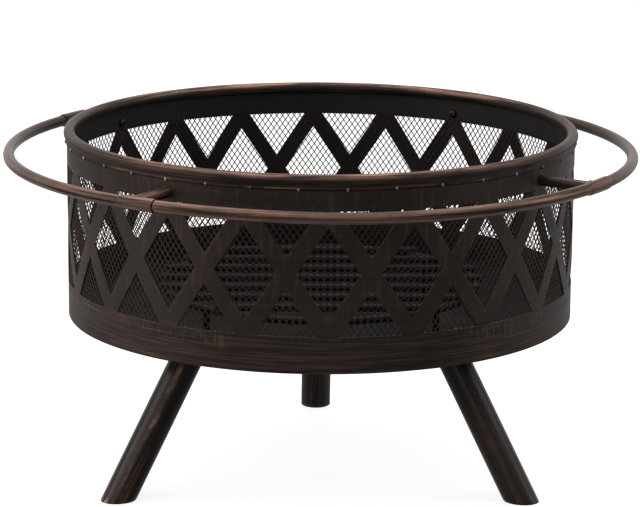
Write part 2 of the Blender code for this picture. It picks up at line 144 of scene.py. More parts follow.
def surface(bm, rings, loop_along=False, loop_round=True, caps=False):
    """Joins rings of points into a skin of four-sided faces."""
    layers = [[bm.verts.new(point) for point in ring] for ring in rings]
    count = len(layers[0])
    spans = len(layers) if loop_along else len(layers) - 1
    for index in range(spans):
        here = layers[index]
        there = layers[(index + 1) % len(layers)]
        for side in range(count if loop_round else count - 1):
            following = (side + 1) % count
            bm.faces.new((here[side], here[following], there[following], there[side]))
    if caps:
        bm.faces.new(layers[0])
        bm.faces.new(layers[-1])


def circle(centre, along, radius, sides, up=(0.0, 0.0, 1.0)):
    """A ring of points round a direction."""
    forward = Vector(along).normalized()
    across = forward.cross(Vector(up)).normalized()
    raised = across.cross(forward)
    return [Vector(centre) + across * (radius * math.cos(angle)) + raised * (radius * math.sin(angle))
            for angle in turns(sides)]


def finish_piece(name, bm, material, body="pit", replaces=(), sharp=35.0):
    """Turns a bmesh into a shaded piece that rides on a body."""
    bmesh.ops.recalc_face_normals(bm, faces=bm.faces)
    mesh = bpy.data.meshes.new(name)
    bm.to_mesh(mesh)
    bm.free()
    mesh.shade_smooth()
    mesh.set_sharp_from_angle(angle=math.radians(sharp))
    obj = bpy.data.objects.new(name, mesh)
    bpy.context.scene.collection.objects.link(obj)
    mesh.materials.append(material)
    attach(obj, body)
    if replaces:
        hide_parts(*replaces)
    return obj


def thicken(obj, thickness, offset, sharp, deburr=None):
    """Gives a skin its thickness, and its cut edges a small bevel."""
    solidify = obj.modifiers.new("Thickness", "SOLIDIFY")
    solidify.thickness = thickness
    solidify.offset = offset
    if deburr:
        bevel = obj.modifiers.new("Deburred", "BEVEL")
        bevel.width = deburr
        bevel.segments = 2
        bevel.limit_method = "ANGLE"
        bevel.angle_limit = math.radians(60.0)
    bpy.context.view_layer.update()
    evaluated = obj.evaluated_get(bpy.context.evaluated_depsgraph_get())
    mesh = bpy.data.meshes.new_from_object(evaluated)
    obj.modifiers.clear()
    obj.data = mesh
    mesh.shade_smooth()
    mesh.set_sharp_from_angle(angle=math.radians(sharp))


# -------------------- materials

class Nodes:
    """A short way to write the node tree of a material or of the world."""

    def __init__(self, owner, shader="Principled BSDF", coordinates="Object"):
        owner.use_nodes = True
        self.owner = owner
        self.tree = owner.node_tree
        self.shader = self.tree.nodes[shader]
        self.coordinates = self.add("ShaderNodeTexCoord").outputs[coordinates]

    def add(self, kind, inputs=(), **settings):
        node = self.tree.nodes.new(kind)
        for key, value in settings.items():
            setattr(node, key, value)
        for key, value in dict(inputs).items():
            self.feed(node.inputs[key], value)
        return node

    def feed(self, socket, value):
        if isinstance(value, bpy.types.NodeSocket):
            self.tree.links.new(value, socket)
        elif socket.type == "RGBA":
            socket.default_value = (*value, 1.0)
        else:
            socket.default_value = value

    def math(self, operation, *values):
        return self.add("ShaderNodeMath", enumerate(values), operation=operation).outputs["Value"]

    def vector_math(self, operation, *values):
        return self.add("ShaderNodeVectorMath", enumerate(values), operation=operation).outputs

    def product(self, first, *others):
        for other in others:
            first = self.math("MULTIPLY", first, other)
        return first

    def total(self, first, *others):
        for other in others:
            first = self.math("ADD", first, other)
        return first

    def mix(self, share, first, second):
        inputs = {"Factor": share, "A": first, "B": second}
        return self.add("ShaderNodeMix", inputs, data_type="RGBA").outputs["Result"]

    def ramp(self, value, low, high, to_low=0.0, to_high=1.0):
        """Maps low..high to to_low..to_high, smoothly and clamped."""
        inputs = {"Value": value, "From Min": low, "From Max": high, "To Min": to_low, "To Max": to_high}
        return self.add("ShaderNodeMapRange", inputs, interpolation_type="SMOOTHSTEP").outputs["Result"]

    def attribute(self, name, output="Fac"):
        return self.add("ShaderNodeAttribute", attribute_name=name).outputs[output]

    def part(self, vector, axis):
        return self.add("ShaderNodeSeparateXYZ", {"Vector": vector}).outputs[axis]

    def position(self, axis):
        return self.part(self.coordinates, axis)

    def upward(self):
        """How far the surface faces up, -1 to 1."""
        return self.part(self.add("ShaderNodeNewGeometry").outputs["Normal"], "Z")

    def outward(self):
        """The level direction away from the drum's axis, and the distance from it."""
        level = self.vector_math("MULTIPLY", self.coordinates, (1.0, 1.0, 0.0))["Vector"]
        return self.vector_math("NORMALIZE", level)["Vector"], self.vector_math("LENGTH", level)["Value"]

    def flank(self):
        """How far round towards the left or right side of the drum a point is, 0 to 1."""
        return self.math("ABSOLUTE", self.part(self.outward()[0], "X"))

    def noise(self, scale, stretch=(1.0, 1.0, 1.0), detail=4.0, roughness=0.55, offset=0.0):
        place = self.add("ShaderNodeMapping", {"Vector": self.coordinates, "Scale": stretch,
                                               "Location": (offset, -offset, 0.5 * offset)})
        inputs = {"Vector": place.outputs["Vector"], "Scale": scale, "Detail": detail, "Roughness": roughness}
        return self.add("ShaderNodeTexNoise", inputs).outputs["Fac"]

    def grain(self, run, across, detail=5.0, roughness=0.62, offset=0.0, attribute=None):
        """Noise drawn out along the metal, with run marks a metre along it and across marks over it.

        It follows the "grain" attribute where one is named, and otherwise runs round
        the drum's axis, with no seam.
        """
        if attribute:
            place = self.vector_math("MULTIPLY", self.attribute(attribute, "Vector"), (run, across, across))
            depth = offset
        else:
            direction, distance = self.outward()
            spread = self.vector_math("MULTIPLY", direction, (run * RING_R,) * 3)
            height = self.math("MULTIPLY_ADD", self.position("Z"), across, offset)
            raised = self.add("ShaderNodeCombineXYZ", {"Z": height})
            place = self.vector_math("ADD", spread["Vector"], raised.outputs["Vector"])
            depth = self.math("MULTIPLY", distance, across)
        inputs = {"Vector": place["Vector"], "W": depth, "Scale": 1.0, "Detail": detail,
                  "Roughness": roughness}
        return self.add("ShaderNodeTexNoise", inputs, noise_dimensions="4D").outputs["Fac"]

    def bump(self, height, distance, strength=1.0, below=None):
        node = self.add("ShaderNodeBump", {"Height": height, "Distance": distance, "Strength": strength})
        if below is not None:
            self.feed(node.inputs["Normal"], below)
        return node.outputs["Normal"]


PAINT_DARK = (0.0202, 0.0161, 0.0136)
PAINT_BROWN = (0.0305, 0.0226, 0.0187)
RING_DARK = (0.0320, 0.0205, 0.0150)
RING_BROWN = (0.0950, 0.0570, 0.0400)
# Paler brown for the ring's downward faces: painted light from the floor below.
RING_PAINTED_UNDERLIGHT = (0.2050, 0.1320, 0.0980)
LEG_DARK = (0.0140, 0.0112, 0.0096)
LEG_BROWN = (0.0250, 0.0175, 0.0150)
RUB_COPPER = (0.270, 0.135, 0.104)
RUB_OCHRE = (0.200, 0.120, 0.058)
RUB_ROSE = (0.225, 0.138, 0.098)
RUB_RED = (0.085, 0.040, 0.030)
WELD_PALE = (0.34, 0.27, 0.24)
WELD_DULL = (0.26, 0.22, 0.19)
# Near black: dark marks in the paint, and also painted shade under the rim's skirt, on the arms and on the
# rear leg.
GRIME_AND_SHADE = (0.0012, 0.0010, 0.0009)
WHITE = (1.0, 1.0, 1.0)
BRONZE_SHEEN = (1.0, 0.74, 0.66)


def upright_scratches(n, below_z):
    """Short straight upright marks in bunches, in a band under a height."""
    height = n.position("Z")
    zone = n.product(n.ramp(height, below_z - 0.022, below_z - 0.013),
                     n.ramp(height, below_z - 0.001, below_z - 0.005))
    marks = n.ramp(n.grain(300.0, 42.0, detail=2.0, roughness=0.5, offset=23.0), 0.54, 0.64)
    bunches = n.ramp(n.noise(9.0, detail=2.0, offset=29.0), 0.44, 0.56)
    return n.product(zone, marks, bunches)


def seam_marks(n, seam_z):
    """A thin broken rub just above a joint's height, and a painted shadow in the corner below it."""
    height = n.position("Z")
    breaks = n.noise(21.0, stretch=(1.0, 1.0, 6.0), detail=5.0, offset=47.0)
    rub = n.product(n.ramp(height, seam_z - 0.0002, seam_z + 0.0006),
                    n.ramp(height, seam_z + 0.0030, seam_z + 0.0012), n.ramp(breaks, 0.50, 0.64))
    painted_gap_shadow = n.product(n.ramp(height, seam_z - 0.0026, seam_z - 0.0012),
                     n.ramp(height, seam_z + 0.0002, seam_z - 0.0003))
    return rub, painted_gap_shadow


def handling_wear(n, brush, rub_top, rub_rear, flank_rub, rub_from):
    """Rubbing on upward faces, drawn along the brush marks and broken up."""
    handled = n.product(n.ramp(n.position("Y"), 0.16, -0.05, rub_rear, 1.0),
                        n.ramp(n.flank(), 0.58, 0.92, 1.0, flank_rub))
    facing = n.ramp(n.upward(), rub_from, rub_from + 0.6)
    drawn = n.ramp(brush, 0.44, 0.57, 0.10, 1.0)
    broken = n.ramp(n.noise(12.0, detail=4.0, roughness=0.6, offset=11.0), 0.30, 0.62, 0.25, 1.0)
    return n.product(facing, drawn, broken, handled, rub_top)


def bronze_paint(name, rub_top=0.0, rub_rear=0.3, flank_rub=1.0, rub_from=0.0, rub_edge=0.0, streaks=0.0,
                 grain=None, run=14.0, across=480.0, scratch_z=None, seam_z=None, calm_above_z=None,
                 gloss_level=0.20, satin=0.36, relief=0.00012, rub_colours=(RUB_COPPER, RUB_OCHRE),
                 base=(PAINT_DARK, PAINT_BROWN), painted_underlight=None, sheen=WHITE, darken_rear=0.0):
    """Near-black brown paint, brushed and rubbed through to copper brown.

    rub_top is how much upward faces are rubbed, rub_rear and flank_rub the share of it at
    the back and at the left and right, rub_from how far up a face must look, rub_edge how
    much the mesh's "edge" attribute is rubbed, and streaks how strong the brush marks are.
    The marks run along the grain. scratch_z is the height that upright scratches hang
    under, seam_z a joint's height, and calm_above_z the height above which the marks are
    faint.
    """
    n = Nodes(bpy.data.materials.new(name))
    patches = n.noise(7.0, detail=3.0)
    fine = n.noise(160.0, detail=3.0, offset=3.0)
    brush = n.grain(run, across, offset=5.0, attribute=grain)
    groups = n.ramp(n.noise(6.5, detail=2.0, offset=41.0), 0.44, 0.62)
    colour = n.mix(n.ramp(patches, 0.35, 0.7), *base)
    # Downward faces are painted lighter: painted light from the floor below.
    if painted_underlight:
        colour = n.mix(n.ramp(n.upward(), -0.05, -0.6), colour, painted_underlight)
    # Darker towards the back of the drum.
    if darken_rear:
        colour = n.mix(n.ramp(n.position("Y"), 0.0, 0.22, 0.0, darken_rear), colour, GRIME_AND_SHADE)
    strength = streaks
    if calm_above_z is not None:
        height = n.position("Z")
        strength = n.ramp(height, calm_above_z - 0.004, calm_above_z + 0.006, streaks, 0.16 * streaks)
        drips = n.ramp(n.grain(150.0, 22.0, detail=4.0, offset=61.0), 0.50, 0.66, 0.0, 0.40)
        above = n.ramp(height, calm_above_z, calm_above_z + 0.05)
        colour = n.mix(n.product(drips, above), colour, RUB_RED)
    colour = n.mix(n.product(n.ramp(brush, 0.50, 0.40), strength, 0.9), colour, GRIME_AND_SHADE)
    if rub_top:
        strength = n.ramp(n.flank(), 0.58, 0.92, streaks, flank_rub * streaks)
    colour = n.mix(n.product(n.ramp(brush, 0.50, 0.60), strength), colour, RUB_RED)
    wear = n.product(n.ramp(brush, 0.56, 0.68), groups, strength, 0.5)
    if rub_top:
        wear = n.total(wear, handling_wear(n, brush, rub_top, rub_rear, flank_rub, rub_from))
    if rub_edge:
        broken = n.ramp(n.noise(55.0, detail=5.0, roughness=0.7, offset=17.0), 0.42, 0.70)
        if grain:
            broken = n.product(broken, n.ramp(brush, 0.47, 0.56))
        wear = n.total(wear, n.product(n.attribute("edge"), broken, rub_edge))
    if scratch_z is not None:
        scratches = upright_scratches(n, scratch_z)
        colour = n.mix(n.product(scratches, 0.6), colour, RUB_RED)
        wear = n.total(wear, n.product(scratches, groups, 0.14))
    if seam_z is not None:
        rub, painted_gap_shadow = seam_marks(n, seam_z)
        wear = n.total(wear, n.product(rub, groups, 0.6))
    wear = n.math("MINIMUM", wear, 1.0)
    rub_colour = n.mix(n.ramp(n.noise(30.0, detail=3.0, offset=31.0), 0.46, 0.62), *rub_colours)
    colour = n.mix(wear, colour, rub_colour)
    # Painted shadow in the corner under the rim's skirt.
    if seam_z is not None:
        colour = n.mix(n.product(painted_gap_shadow, 0.9), colour, GRIME_AND_SHADE)
    n.feed(n.shader.inputs["Base Color"], colour)
    n.feed(n.shader.inputs["Metallic"], n.product(wear, 0.45))
    uneven = n.total(n.ramp(patches, 0.3, 0.7, satin - 0.06, satin + 0.03), n.product(fine, 0.05))
    n.feed(n.shader.inputs["Roughness"], n.total(uneven, n.ramp(brush, 0.4, 0.6, -0.02, 0.08)))
    n.shader.inputs["Specular IOR Level"].default_value = gloss_level
    n.shader.inputs["Specular Tint"].default_value = (*sheen, 1.0)
    brushed = n.bump(brush, relief, 0.6)
    n.feed(n.shader.inputs["Normal"], n.bump(fine, 0.00008, 0.5, below=brushed))
    return n.owner


def leg_paint(name, rub_edge, streaks, gloss_level, satin, base=(LEG_DARK, LEG_BROWN)):
    """The same paint on a leg, brushed along the tube."""
    return bronze_paint(name, rub_edge=rub_edge, streaks=streaks, grain="grain", run=7.0, across=200.0,
                        gloss_level=gloss_level, satin=satin, base=base)


def black_paint(name, colour=(0.0060, 0.0056, 0.0054), roughness=0.62, dust=0.25, streaks=0.0):
    """Matt black heat-resistant paint with a faint dusty unevenness."""
    n = Nodes(bpy.data.materials.new(name))
    cloud = n.noise(14.0, detail=5.0, roughness=0.62)
    grain = n.noise(420.0, detail=2.0, offset=7.0)
    dusty = tuple(2.6 * part for part in colour)
    share = n.product(n.ramp(cloud, 0.42, 0.72), dust)
    if streaks:
        level_marks = n.noise(3.0, stretch=(1.0, 1.0, 75.0), detail=5.0, offset=5.0)
        share = n.total(share, n.product(n.ramp(level_marks, 0.55, 0.75), streaks))
    n.feed(n.shader.inputs["Base Color"], n.mix(share, colour, dusty))
    n.feed(n.shader.inputs["Roughness"], n.ramp(cloud, 0.3, 0.75, roughness - 0.06, roughness + 0.08))
    n.shader.inputs["Specular IOR Level"].default_value = 0.12
    n.feed(n.shader.inputs["Normal"], n.bump(grain, 0.00012, 0.5))
    return n.owner


def fastener_steel(name, dark, pale, metallic):
    """Plated or blacked steel, slightly worn."""
    n = Nodes(bpy.data.materials.new(name))
    cloud = n.noise(240.0, detail=4.0)
    n.feed(n.shader.inputs["Base Color"], n.mix(n.ramp(cloud, 0.35, 0.7), dark, pale))
    n.shader.inputs["Metallic"].default_value = metallic
    n.feed(n.shader.inputs["Roughness"], n.ramp(cloud, 0.3, 0.7, 0.34, 0.5))
    n.feed(n.shader.inputs["Normal"], n.bump(n.noise(900.0, detail=2.0), 0.00005, 0.4))
    return n.owner


def floor_white(name):
    """A lit white table: mostly its own light, so that shadows on it stay faint."""
    n = Nodes(bpy.data.materials.new(name))
    tint = n.noise(1.5, detail=2.0)
    n.feed(n.shader.inputs["Base Color"], n.mix(tint, (0.34, 0.34, 0.34), (0.36, 0.36, 0.36)))
    n.feed(n.shader.inputs["Emission Color"], WHITE)
    n.shader.inputs["Emission Strength"].default_value = 0.84
    n.shader.inputs["Roughness"].default_value = 0.8
    n.shader.inputs["Specular IOR Level"].default_value = 0.1
    return n.owner


# Its edge rub is partly edge wear and partly a painted highlight along the windows' cut edges.
DRUM_PAINT = bronze_paint("drum_paint", rub_edge=0.13, streaks=0.40, run=10.0, across=400.0,
                          gloss_level=0.15, scratch_z=LATTICE_BOTTOM_Z, seam_z=RIM_SKIRT_Z,
                          calm_above_z=LATTICE_BOTTOM_Z)
RIM_PAINT = bronze_paint("rim_paint", rub_top=0.95, rub_rear=1.45, flank_rub=0.22, rub_from=0.15,
                         streaks=0.5, run=9.0, across=300.0, seam_z=RIM_SKIRT_Z, satin=0.34,
                         gloss_level=0.15, relief=0.0002, sheen=BRONZE_SHEEN,
                         rub_colours=(RUB_COPPER, RUB_ROSE))
RING_PAINT = bronze_paint("ring_paint", rub_top=0.9, flank_rub=0.35, rub_from=-0.1, rub_edge=0.4,
                          streaks=0.95, run=7.0, across=230.0, gloss_level=0.22, satin=0.22,
                          relief=0.0005, base=(RING_DARK, RING_BROWN), painted_underlight=RING_PAINTED_UNDERLIGHT,
                          sheen=BRONZE_SHEEN, darken_rear=0.6, rub_colours=(RUB_COPPER, RUB_ROSE))
# The arms' base colour is near black: painted shade for the shadowed lower sides of the arms.
ARM_PAINT = bronze_paint("arm_paint", rub_top=1.6, rub_rear=0.7, flank_rub=0.3, rub_from=0.25,
                         rub_edge=0.15, streaks=0.8, grain="grain", across=260.0, satin=0.34,
                         base=(GRIME_AND_SHADE, LEG_DARK))
# The rear leg's paint is darker: painted shade under the bowl.
LEG_PAINTS = {"front_left": leg_paint("leg_paint", 1.2, 0.45, 0.17, 0.15),
              "front_right": leg_paint("calm_leg_paint", 0.3, 0.2, 0.17, 0.20),
              "rear": leg_paint("shaded_leg_paint", 0.4, 0.3, 0.15, 0.34, base=(GRIME_AND_SHADE, LEG_DARK))}
WELD_PAINT = bronze_paint("weld_paint", rub_top=0.6, rub_edge=1.8, gloss_level=0.5, satin=0.30,
                          rub_colours=(WELD_PALE, WELD_DULL))
# Near black for the band's inward faces: painted shade inside the drum.
INSIDE_PAINTED_SHADE = black_paint("inside_painted_shade", colour=(0.0160, 0.0154, 0.0150))
BOWL_PAINT = black_paint("bowl_paint", dust=0.9, streaks=0.15)
MESH_PAINT = black_paint("mesh_paint", colour=(0.0210, 0.0130, 0.0100), roughness=0.5, dust=0.5)
GRATE_PAINT = black_paint("grate_paint", colour=(0.0080, 0.0070, 0.0064), roughness=0.6, dust=0.9)
FASTENER_STEEL = fastener_steel("fastener_steel", (0.020, 0.019, 0.018), (0.055, 0.052, 0.050), 0.7)
BLACKED_STEEL = fastener_steel("blacked_steel", (0.0050, 0.0048, 0.0046), (0.0150, 0.0145, 0.0140), 0.3)


# -------------------- drum

HALF_PITCH = math.pi * DRUM_OUTER_R / LATTICE_CELLS
HALF_LATTICE = (LATTICE_TOP_Z - LATTICE_BOTTOM_Z) / 2
STRAP_SLOPE = math.atan2(HALF_PITCH, HALF_LATTICE)


def inside_strap(along, height):
    """How far a point of the flat lattice lies inside its strap or band; below 0 in a window."""
    best = max(LATTICE_BOTTOM_Z - height, height - LATTICE_TOP_Z)
    for lean in (-1, 1):
        offset = along - lean * HALF_PITCH * (height - LATTICE_BOTTOM_Z) / HALF_LATTICE
        offset = (offset + HALF_PITCH) % (2 * HALF_PITCH) - HALF_PITCH
        best = max(best, STRAP_WIDTH / 2 - abs(offset) * math.cos(STRAP_SLOPE))
    return best


def lattice_cell():
    """One flat cell of the band as a fine grid with its windows cut out exactly."""
    columns = 24
    rows = 56
    rise = (DRUM_TOP_Z - DRUM_BOTTOM_Z) / rows
    run = 2 * HALF_PITCH / columns
    bm = bmesh.new()
    rings = [[Vector((column * run - HALF_PITCH, 0.0, DRUM_BOTTOM_Z + row * rise))
              for column in range(columns + 1)] for row in range(rows + 1)]
    surface(bm, rings, loop_round=False)
    cuts = [((0.0, LATTICE_BOTTOM_Z), (0.0, 1.0)), ((0.0, LATTICE_TOP_Z), (0.0, 1.0))]
    for lean in (-1, 1):
        normal = (math.cos(STRAP_SLOPE), -lean * math.sin(STRAP_SLOPE))
        for centre in (-2, 0, 2):
            for side in (-1, 1):
                start = centre * HALF_PITCH + side * STRAP_WIDTH / 2 / math.cos(STRAP_SLOPE)
                cuts.append(((start, LATTICE_BOTTOM_Z), normal))
                cuts.append(((start + HALF_PITCH * 2 * lean, LATTICE_BOTTOM_Z), normal))
    for (along, height), (normal_along, normal_up) in cuts:
        bmesh.ops.bisect_plane(bm, geom=bm.verts[:] + bm.edges[:] + bm.faces[:], dist=MERGE_DISTANCE / 4,
                               plane_co=(along, 0.0, height), plane_no=(normal_along, 0.0, normal_up))
    holes = []
    for face in bm.faces:
        centre = face.calc_center_median()
        if inside_strap(centre.x, centre.z) < 0:
            holes.append(face)
    bmesh.ops.delete(bm, geom=holes, context="FACES")
    bmesh.ops.remove_doubles(bm, verts=bm.verts, dist=MERGE_DISTANCE)
    return bm


def make_drum():
    """The lattice band: flat cells laid round the drum, slightly uneven like rolled sheet."""
    edge_width = 0.0016
    cell = lattice_cell()
    cell_mesh = bpy.data.meshes.new("cell")
    cell.to_mesh(cell_mesh)
    cell.free()
    bm = bmesh.new()
    for index in range(LATTICE_CELLS):
        shifted = cell_mesh.copy()
        shifted.transform(Matrix.Translation((index * 2 * HALF_PITCH, 0.0, 0.0)))
        bm.from_mesh(shifted)
    # This attribute marks the window edges and the band's foot, which the paint lightens: partly edge wear,
    # partly a painted highlight along the cut edges.
    edge = bm.verts.layers.float.new("edge")
    for vert in bm.verts:
        along, _, height = vert.co
        inside = min(inside_strap(along, height), height - DRUM_BOTTOM_Z)
        vert[edge] = max(0.0, 1.0 - max(0.0, inside) / edge_width)
        azimuth = LATTICE_AZIMUTH + math.degrees(along / DRUM_OUTER_R)
        place = at_azimuth(DRUM_OUTER_R, azimuth, height)
        radius = DRUM_OUTER_R + 0.00022 * wobble(place, 14.0, 1.0) - 0.00010
        vert.co = at_azimuth(radius, azimuth, height)
    bmesh.ops.remove_doubles(bm, verts=bm.verts, dist=MERGE_DISTANCE)
    drum = finish_piece("lattice_drum", bm, DRUM_PAINT, replaces=["drum_band"])
    outward = sum(face.normal.dot(Vector((face.center.x, face.center.y, 0.0))) for face in drum.data.polygons)
    thicken(drum, SHEET, -1.0 if outward > 0 else 1.0, sharp=50.0, deburr=0.00022)
    # The inward faces get the near-black paint: painted shade inside the drum.
    drum.data.materials.append(INSIDE_PAINTED_SHADE)
    for face in drum.data.polygons:
        centre = Vector((face.center.x, face.center.y, 0.0))
        if centre.length < DRUM_OUTER_R - SHEET / 2 and face.normal.dot(centre.normalized()) < -0.7:
            face.material_index = 1


# -------------------- rim and its tack welds

def make_rim():
    """A curled sheet rim, its skirt lapping outside the band."""
    bead_r = RIM_OUTER_R - RIM_BEAD_R
    bead_z = RIM_TOP_Z - RIM_BEAD_R
    hollow = RIM_BEAD_R - SHEET
    clearance = 0.0003
    skirt_outer = DRUM_OUTER_R + clearance + SHEET
    outer = []
    inner = []
    for step in range(41):
        angle = math.radians(255.0 - 275.0 * step / 40)
        for side, reach in ((outer, RIM_BEAD_R), (inner, hollow)):
            side.append((bead_r + reach * math.cos(angle), bead_z + reach * math.sin(angle)))
    for up in (0.0050, 0.0036, 0.0018, 0.0):
        outer.append((skirt_outer, RIM_SKIRT_Z + up))
        inner.append((skirt_outer - SHEET, RIM_SKIRT_Z + up))
    profile = outer + inner[::-1]
    steps = 540
    rings = [[at_azimuth(r, 360.0 * step / steps, z) for r, z in profile] for step in range(steps)]
    for ring in rings:
        for point in ring:
            flat = Vector((point.x, point.y, 0.0)).normalized()
            point += flat * (0.00028 * wobble(point, 17.0, 4.0) + 0.00012 * wobble(point, 60.0, 5.0))
            point.z += 0.00025 * wobble(point, 12.0, 6.0) - 0.00010
    bm = bmesh.new()
    surface(bm, rings, loop_along=True)
    finish_piece("rolled_rim_fine", bm, RIM_PAINT, replaces=["rolled_rim"], sharp=40.0)


def make_tack_welds():
    """Small domed welds along the lower edge of the rim's skirt."""
    weld_size = 0.0019
    weld_depth = 0.0016
    bm = bmesh.new()
    for index in range(TACK_WELDS):
        azimuth = TACK_AZIMUTH + 360.0 * index / TACK_WELDS
        azimuth -= 0.6 * math.cos(math.radians(3.0 * (azimuth + 19.0)))
        size = weld_size * (1.0 + 0.14 * wobble((index, 0.0, 0.0), 0.7, 8.0))
        dome = bmesh.ops.create_uvsphere(bm, u_segments=16, v_segments=10, radius=1.0)["verts"]
        centre = at_azimuth(DRUM_OUTER_R + SHEET * 0.7, azimuth, RIM_SKIRT_Z - 0.0002)
        for vert in dome:
            lumpy = 1.0 + 0.12 * wobble(vert.co, 1.6, 3.1 * index)
            stretched = lumpy * Vector((vert.co.x * size * 0.9, vert.co.y * weld_depth,
                                        vert.co.z * size * 1.3))
            vert.co = centre + turned_to(azimuth).to_3x3() @ stretched
    edge = bm.verts.layers.float.new("edge")
    for vert in bm.verts:
        vert[edge] = 1.0
    finish_piece("rim_tack_welds", bm, WELD_PAINT, sharp=80.0)


# -------------------- spark mesh

def make_spark_mesh():
    """Expanded metal: rows of upright diamonds whose strands twist a little out of the sheet."""
    columns = 250
    rows = 30
    strand = 0.00120
    thickness = 0.0005
    twist = 0.00012
    margin = 0.001
    radius = (LINER_INNER_R + LINER_OUTER_R) / 2 - 0.0001
    half_rise = (LINER_TOP_Z - LINER_BOTTOM_Z - 2 * margin) / (rows - 1)
    slope = math.atan2(math.pi * radius / columns, half_rise)
    reach_up = strand / 2 / math.sin(slope)
    reach_along = math.degrees(strand / 2 / math.cos(slope) / radius)
    bm = bmesh.new()
    knots = []
    for row in range(rows):
        height = LINER_BOTTOM_Z + margin + row * half_rise
        knots.append([])
        for column in range(columns):
            azimuth = (column + 0.5 * (row % 2)) * 360.0 / columns
            top = bm.verts.new(at_azimuth(radius - twist, azimuth, height + reach_up))
            right = bm.verts.new(at_azimuth(radius, azimuth + reach_along, height))
            bottom = bm.verts.new(at_azimuth(radius + twist, azimuth, height - reach_up))
            left = bm.verts.new(at_azimuth(radius, azimuth - reach_along, height))
            bm.faces.new((bottom, right, top, left))
            knots[row].append((top, right, bottom, left))
    for row in range(rows - 1):
        for column in range(columns):
            top, right, _, left = knots[row][column]
            step_right = column + (row % 2)
            _, _, up_right_bottom, up_right_left = knots[row + 1][step_right % columns]
            _, up_left_right, up_left_bottom, _ = knots[row + 1][(step_right - 1) % columns]
            bm.faces.new((right, up_right_bottom, up_right_left, top))
            bm.faces.new((top, up_left_right, up_left_bottom, left))
    liner = finish_piece("spark_mesh", bm, MESH_PAINT, replaces=["spark_mesh_liner"])
    thicken(liner, thickness, 0.0, sharp=40.0)


# -------------------- fire bowl

def make_bowl():
    """The pressed pan: flat floor, sloped shoulder, tight knuckle and a short wall."""
    knuckle = 0.0065
    knuckle_r = BOWL_OUTER_R - knuckle
    knuckle_z = 0.2000 + knuckle
    bend_r = 0.2450
    bend_reach = 0.012
    bend_rise = 0.0034
    outside = [(BOWL_OUTER_R, BOWL_TOP_Z)]
    for step in range(9):
        angle = math.radians(-75.0 * step / 8)
        outside.append((knuckle_r + knuckle * math.cos(angle), knuckle_z + knuckle * math.sin(angle)))
    start = Vector((bend_r + bend_reach, BOWL_FLOOR_Z + bend_rise))
    corner = Vector((bend_r, BOWL_FLOOR_Z))
    end = Vector((bend_r - bend_reach, BOWL_FLOOR_Z))
    for step in range(7):
        share = step / 6
        point = start.lerp(corner, share).lerp(corner.lerp(end, share), share)
        outside.append((point.x, point.y))
    outside += [(radius, BOWL_FLOOR_Z) for radius in (0.22, 0.19, 0.16, 0.13, 0.10, 0.07, 0.04, 0.02)]
    bm = bmesh.new()
    steps = 288
    surface(bm, [[at_azimuth(r, 360.0 * step / steps, z) for step in range(steps)] for r, z in outside])
    bm.faces.new(bm.verts[-steps:])
    for vert in bm.verts:
        if vert.co.z < BOWL_FLOOR_Z + 0.004:
            vert.co.z += 0.0004 * (wobble(vert.co, 7.0, 2.0) + 0.3)
    bowl = finish_piece("pressed_bowl", bm, BOWL_PAINT, replaces=["fire_bowl"], sharp=50.0)
    upward = sum(face.normal.z for face in bowl.data.polygons)
    thicken(bowl, SHEET, -1.0 if upward < 0 else 1.0, sharp=50.0)


# -------------------- legs and plates

def leg_axis():
    """From the foot to the top of the leg that stands at the front, before it is turned."""
    return Vector((0.0, -LEG_FOOT_R, 0.0)), Vector((0.0, -LEG_TOP_R, LEG_TOP_Z))


def make_leg(name, azimuth):
    """A hollow tube with softened cut ends."""
    wall = 0.0020
    inner = LEG_TUBE_R - wall
    soft = 0.0005
    foot, top = leg_axis()
    across = Vector((1.0, 0.0, 0.0))
    along = (top - foot).normalized()
    raised = along.cross(across)
    stations = [(LEG_TUBE_R - soft, 0.0), (LEG_TUBE_R - soft * 0.3, soft * 0.3), (LEG_TUBE_R, soft)]
    stations += [(LEG_TUBE_R, soft + (LEG_TOP_Z - 2 * soft) * step / 24) for step in range(1, 24)]
    stations += [(LEG_TUBE_R, LEG_TOP_Z - soft), (LEG_TUBE_R - soft, LEG_TOP_Z), (inner, LEG_TOP_Z),
                 (inner, LEG_TOP_Z * 0.5), (inner, soft), (inner + soft * 0.5, 0.0)]
    rings = []
    for radius, height in stations:
        rings.append([])
        for angle in turns(64):
            base = foot + (across * (radius * math.cos(angle)) + raised * (radius * math.sin(angle)))
            rings[-1].append(base + along * ((height - base.z) / along.z))
    bm = bmesh.new()
    edge = bm.verts.layers.float.new("edge")
    surface(bm, rings, loop_along=True)
    grain = bm.verts.layers.float_vector.new("grain")
    rubbed_side = turned_to(LEG_RUB_AZIMUTH - azimuth) @ Vector((0.0, -1.0, 0.0))
    rubbed_side = (rubbed_side - along * rubbed_side.dot(along)).normalized()
    for vert in bm.verts:
        from_foot = vert.co - foot
        vert[grain] = (from_foot.dot(along), from_foot.dot(across), from_foot.dot(raised))
        near_foot = max(0.0, 1.0 - vert.co.z / 0.006)
        facing = from_foot.dot(rubbed_side) / LEG_TUBE_R + 0.010 * wobble(from_foot, 40.0, azimuth)
        vert[edge] = max(near_foot, min(1.0, max(0.0, (facing - 0.965) / 0.03)) * 0.8)
    bm.transform(turned_to(azimuth))
    finish_piece("leg_tube_" + name, bm, LEG_PAINTS[name], replaces=["leg_" + name],
                 sharp=50.0)


